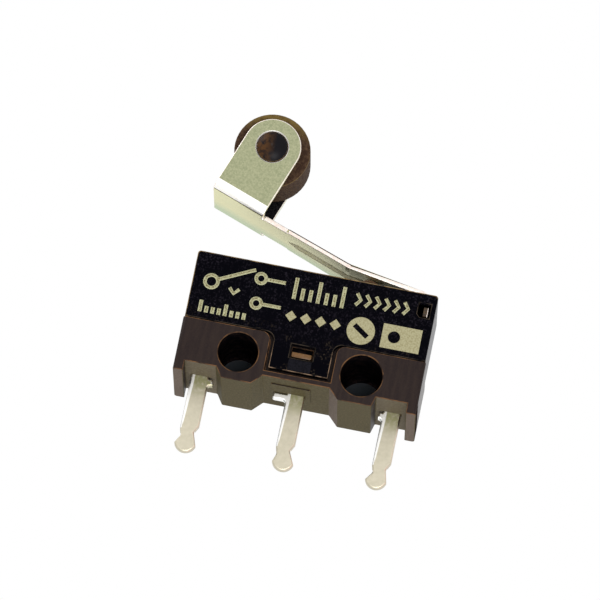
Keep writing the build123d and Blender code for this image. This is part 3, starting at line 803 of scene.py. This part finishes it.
painted = [(lever, LEVER_PAINT), (roller, ROLLER_PAINT), (cover, COVER_PAINT), (base, BASE_PAINT)]
for piece, rows in painted + [(terminal, TERMINAL_PAINT) for terminal in terminals]:
    for surface, *ways in rows:
        repaint(piece, surface, ways)

for node, surface in (
    ("plunger", "plunger_moulding"),
    ("snap_blade", "blade_copper"),
    ("moving_contact", "contact_silver"),
    ("contact_normally_open", "contact_silver"),
    ("contact_normally_closed", "contact_silver"),
):
    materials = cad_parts[node].data.materials
    materials.clear()
    materials.append(finishes[surface])


# Raised marks on the front of the cover: plain signs of no maker, laid out in three fields
MARK_RADIUS = 0.125
MARK_DEPTH = -2.775
RING_POINTS = 20
DISC_POINTS = 28
SIGN_BACK = -2.84
SIGN_HEIGHT = 0.052
SIGN_BEVEL = 0.02
UPPER_CONTACT = 4.1
LOWER_CONTACT = 2.75


def arc(centre, radius, start=0, end=360, points=RING_POINTS):
    """Points on an arc, in degrees from +X towards +Z."""
    turns = [radians(start + (end - start) * step / points) for step in range(points + 1)]
    return [(centre[0] + radius * cos(turn), centre[1] + radius * sin(turn)) for turn in turns]


def ring(centre, radius):
    """A closed ring."""
    return arc(centre, radius)[:-1], True


def line(*points):
    """An open run of strokes."""
    return list(points), False


def meshed(curve):
    """A curve's mesh."""
    carrier = bpy.data.objects.new("stroke", curve)
    scene.collection.objects.link(carrier)
    depsgraph = bpy.context.evaluated_depsgraph_get()
    mesh = bpy.data.meshes.new_from_object(carrier.evaluated_get(depsgraph))
    bpy.data.objects.remove(carrier)
    return mesh


def add_path(curve, points, closed):
    """A run of straight pieces through points in three dimensions."""
    spline = curve.splines.new("POLY")
    spline.points.add(len(points) - 1)
    for target, point in zip(spline.points, points):
        target.co = (*[value * MM for value in point], 1)
    spline.use_cyclic_u = closed


def strokes(*paths):
    """Strokes with rounded tops, sunk in the cover so that they stand 0.05 mm proud."""
    curve = bpy.data.curves.new("strokes", "CURVE")
    curve.dimensions = "3D"
    curve.bevel_depth = MARK_RADIUS * MM
    curve.bevel_resolution = 3
    curve.use_fill_caps = True
    for points, closed in paths:
        add_path(curve, [(x, MARK_DEPTH, z) for x, z in points], closed)
    return meshed(curve)


def sign(*outlines):
    """A flat raised sign with bevelled sides, whose further outlines are holes in the first."""
    curve = bpy.data.curves.new("sign", "CURVE")
    curve.dimensions = "2D"
    curve.fill_mode = "BOTH"
    curve.extrude = (SIGN_HEIGHT - 2 * SIGN_BEVEL) / 2 * MM
    curve.bevel_depth = SIGN_BEVEL * MM
    curve.offset = -SIGN_BEVEL * MM
    curve.bevel_resolution = 1
    for points in outlines:
        add_path(curve, [(x, z, 0) for x, z in points], True)
    mesh = meshed(curve)
    stand = Matrix.Translation((0, (SIGN_BACK - SIGN_HEIGHT / 2) * MM, 0)) @ Matrix.Rotation(pi / 2, 4, "X")
    mesh.transform(stand)
    mesh.materials.append(finishes["raised_signs"])
    return mesh


def row_tree():
    """A tree that repeats its mark along X, with each mark that isn't the first of its group made shorter."""
    tree = bpy.data.node_groups.new("mark_row", "GeometryNodeTree")
    sides = (
        ("Geometry", "INPUT", "NodeSocketGeometry"),
        ("Count", "INPUT", "NodeSocketInt"),
        ("Pitch", "INPUT", "NodeSocketFloat"),
        ("Group", "INPUT", "NodeSocketInt"),
        ("Shortened To", "INPUT", "NodeSocketFloat"),
        ("Finish", "INPUT", "NodeSocketMaterial"),
        ("Geometry", "OUTPUT", "NodeSocketGeometry"),
    )
    for name, side, kind in sides:
        tree.interface.new_socket(name, in_out=side, socket_type=kind)
    given = wire(tree, "NodeGroupInput").outputs
    step = wire(tree, "ShaderNodeCombineXYZ", {"X": given["Pitch"]})
    places = wire(tree, "GeometryNodeMeshLine", {"Count": given["Count"], "Offset": step.outputs[0]})
    index = wire(tree, "GeometryNodeInputIndex").outputs[0]
    later = maths(tree, "GREATER_THAN", maths(tree, "FLOORED_MODULO", index, given["Group"]), 0.5)
    heights = {"Value": later, "To Min": 1.0, "To Max": given["Shortened To"]}
    height = wire(tree, "ShaderNodeMapRange", heights).outputs["Result"]
    scale = wire(tree, "ShaderNodeCombineXYZ", {"X": 1.0, "Y": 1.0, "Z": height}).outputs[0]
    marks = {"Points": places.outputs[0], "Instance": given["Geometry"], "Scale": scale}
    placed = wire(tree, "GeometryNodeInstanceOnPoints", marks)
    whole = wire(tree, "GeometryNodeRealizeInstances", {"Geometry": placed.outputs[0]})
    surfaced = {"Geometry": whole.outputs[0], "Material": given["Finish"]}
    done = wire(tree, "GeometryNodeSetMaterial", surfaced)
    wire(tree, "NodeGroupOutput", {"Geometry": done.outputs[0]})
    return tree


mark_row_tree = row_tree()


def row(mark, count, pitch, place, group=1, shortened_to=1.0, surface="raised_marks"):
    """A mark repeated along X from its first place."""
    carrier = bpy.data.objects.new("row", mark)
    scene.collection.objects.link(carrier)
    repeat = carrier.modifiers.new("row", "NODES")
    repeat.node_group = mark_row_tree
    values = {
        "Count": count,
        "Pitch": pitch * MM,
        "Group": group,
        "Shortened To": shortened_to,
        "Finish": finishes[surface],
    }
    for socket in mark_row_tree.interface.items_tree:
        if socket.in_out == "INPUT" and socket.name in values:
            repeat[socket.identifier] = values[socket.name]
    mesh = plain_mesh(carrier)
    bpy.data.objects.remove(carrier)
    mesh.transform(Matrix.Translation((place[0] * MM, 0, place[1] * MM)))
    return mesh


def changeover_sign():
    """The common sign for a changeover contact: a pivot with its arm, and two contacts with their leads."""
    contacts = []
    for height in (UPPER_CONTACT, LOWER_CONTACT):
        contacts += [ring((-2.85, height), 0.26), line((-2.6, height), (-1.55, height))]
    return strokes(
        ring((-5.35, 3.45), 0.34),
        line((-5.03, 3.62), (-3.2, 4.5)),
        *contacts,
        line((-4.35, 3.3), (-4.1, 3.02), (-3.85, 3.3)),
    )


def slotted_disc():
    """A round sign with a slot across it."""
    outline = arc((0, 0), 0.74, points=DISC_POINTS)[:-1]
    slot = ((-0.46, -0.13), (-0.46, 0.13), (0.46, 0.13), (0.46, -0.13))
    disc = sign(outline, slot)
    disc.transform(Matrix.Rotation(radians(35), 4, "Y"))
    disc.transform(Matrix.Translation((2.75 * MM, 0, 2.35 * MM)))
    return disc


def mark_meshes():
    """All the marks."""
    tick = strokes(line((0, 0), (0, 0.62)))
    bar = strokes(line((0, 0), (0, 1.15)))
    chevron = strokes(line((0, 0.32), (0.24, 0), (0, -0.32)))
    diamond = sign(((0, -0.3), (0.3, 0), (0, 0.3), (-0.3, 0)))
    plate_outline = ((3.85, 1.7), (5.9, 1.7), (5.9, 3.0), (3.85, 3.0))
    plate_hole = arc((4.5, 2.35), 0.32)[:-1][::-1]
    return [
        changeover_sign(),
        row(tick, count=8, pitch=0.33, place=(-5.65, 1.75), group=4, shortened_to=0.55),
        row(bar, count=7, pitch=0.42, place=(-1.0, 3.35), group=3, shortened_to=0.55),
        row(diamond, count=4, pitch=0.78, place=(-0.95, 2.42), surface="raised_signs"),
        row(chevron, count=6, pitch=0.5, place=(2.2, 3.98)),
        slotted_disc(),
        sign(plate_outline, plate_hole),
    ]


def join_marks(meshes):
    """One piece from several meshes: strokes in the first slot, flat signs in the second."""
    shape = bmesh.new()
    for mesh in meshes:
        flat = len(mesh.materials) and mesh.materials[0] == finishes["raised_signs"]
        known = len(shape.faces)
        shape.from_mesh(mesh)
        shape.faces.ensure_lookup_table()
        for face in shape.faces[known:]:
            face.material_index = 1 if flat else 0
            face.smooth = not flat
    mark_sharp(shape)
    joined = bpy.data.meshes.new("cover_marks")
    shape.to_mesh(joined)
    shape.free()
    joined.materials.append(finishes["raised_marks"])
    joined.materials.append(finishes["raised_signs"])
    piece = bpy.data.objects.new("cover_marks", joined)
    scene.collection.objects.link(piece)
    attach(piece, "case")
    return piece


join_marks(mark_meshes())


# Stage: a pale floor under the terminals' tips, and dark cards behind the mounting holes that stand in for
# the shade down them
def paper_finish(name, colour):
    """Paper that only the camera sees, and only from its front, so that light from behind it passes."""
    material, tree, paper = finish(name, roughness=PAPER_ROUGHNESS)
    paper.inputs["Base Color"].default_value = opaque(colour)
    rays = wire(tree, "ShaderNodeLightPath").outputs
    side = wire(tree, "ShaderNodeNewGeometry").outputs["Backfacing"]
    shown = times(tree, rays["Is Camera Ray"], maths(tree, "SUBTRACT", 1.0, side))
    clear = wire(tree, "ShaderNodeBsdfTransparent").outputs[0]
    both = wire(tree, "ShaderNodeMixShader", {0: shown, 1: clear, 2: paper.outputs[0]})
    tree.links.new(both.outputs[0], tree.nodes["Material Output"].inputs["Surface"])
    return material


def stand_sheet(name, points, colour):
    """A sheet of paper on the stage, from points in metres."""
    mesh = bpy.data.meshes.new(name)
    mesh.from_pydata(points, [], [range(len(points))])
    mesh.materials.append(paper_finish(f"{name}_paper", colour))
    sheet = bpy.data.objects.new(name, mesh)
    scene.collection.objects.link(sheet)


def make_stage():
    """The floor, and a round card behind each mounting hole, painted dark grey so that the hole shows as deep
    shade.
    """
    level = cad_low.z - FLOOR_GAP * MM
    reach = FLOOR_HALF * MM
    floor = [(x * reach, y * reach, level) for x, y in ((-1, -1), (1, -1), (1, 1), (-1, 1))]
    stand_sheet("floor", floor, FLOOR_COLOUR)
    depth = (REAR_FACE + CARD_GAP) * MM
    for name, side in (("left_shade_card", -1), ("right_shade_card", 1)):
        card = [(x * MM, depth, z * MM) for x, z in arc((side * HOLE_PLACE, 0), CARD_RADIUS)[:-1]]
        stand_sheet(name, card, CARD_SHADE_GREY)


def light_world():
    """White where the camera or a reflection looks past the object, and an even soft room otherwise."""
    world = bpy.data.worlds.new("studio")
    scene.world = world
    world.use_nodes = True
    tree = world.node_tree
    room = tree.nodes["Background"]
    room.inputs["Color"].default_value = opaque((1, 1, 1))
    room.inputs["Strength"].default_value = ROOM_LEVEL
    white = wire(tree, "ShaderNodeBackground", {"Color": opaque((1, 1, 1)), "Strength": 1.0})
    rays = wire(tree, "ShaderNodeLightPath").outputs
    reflected = maths(tree, "MAXIMUM", rays["Is Glossy Ray"], rays["Is Transmission Ray"])
    seen = maths(tree, "MAXIMUM", reflected, rays["Is Camera Ray"])
    both = wire(tree, "ShaderNodeMixShader", {0: seen, 1: room.outputs[0], 2: white.outputs[0]})
    tree.links.new(both.outputs[0], tree.nodes["World Output"].inputs["Surface"])


def lamp(name, place, size, share):
    """A soft square lamp aimed at the switch, giving a share of the level that renders white as white."""
    data = bpy.data.lights.new(name, "AREA")
    data.size = size * MM
    position = Vector(place) * MM
    data.energy = share * pi**2 * position.length_squared
    light = bpy.data.objects.new(name, data)
    scene.collection.objects.link(light)
    light.location = position
    light.rotation_euler = position.to_track_quat("Z", "Y").to_euler()


def make_camera():
    """The camera at the photograph's place, turned so that the switch is framed as there."""
    a, e, roll = CAMERA_AZIMUTH, CAMERA_ELEVATION, CAMERA_ROLL
    back = Vector((sin(a) * cos(e), -cos(a) * cos(e), sin(e)))
    level_right = Vector((cos(a), sin(a), 0))
    level_up = back.cross(level_right)
    right = cos(roll) * level_right + sin(roll) * level_up
    up = cos(roll) * level_up - sin(roll) * level_right
    across = (PICTURE_SIZE / 2 - ORIGIN_PIXEL[0]) / PIXELS_PER_MM * MM
    above = (ORIGIN_PIXEL[1] - PICTURE_SIZE / 2) / PIXELS_PER_MM * MM
    place = back * CAMERA_DISTANCE * MM
    aim_back = (place - across * right - above * up).normalized()
    aim_right = up.cross(aim_back).normalized()
    aim_up = aim_back.cross(aim_right)
    data = bpy.data.cameras.new("camera")
    data.sensor_width = SENSOR_WIDTH
    data.lens = SENSOR_WIDTH * PIXELS_PER_MM * CAMERA_DISTANCE / PICTURE_SIZE
    data.clip_start = CAMERA_DISTANCE / CLIP_FACTOR * MM
    data.clip_end = CAMERA_DISTANCE * CLIP_FACTOR * MM
    camera = bpy.data.objects.new("camera", data)
    scene.collection.objects.link(camera)
    turn = Matrix((aim_right, aim_up, aim_back)).transposed()
    camera.matrix_world = Matrix.Translation(place) @ turn.to_4x4()
    scene.camera = camera


make_stage()
light_world()
lamp("key_lamp", place=(-200, -140, 190), size=120, share=0.25)
lamp("low_lamp", place=(30, -110, -220), size=90, share=0.25)
lamp("front_lamp", place=(40, -240, -70), size=80, share=0.3)
make_camera()
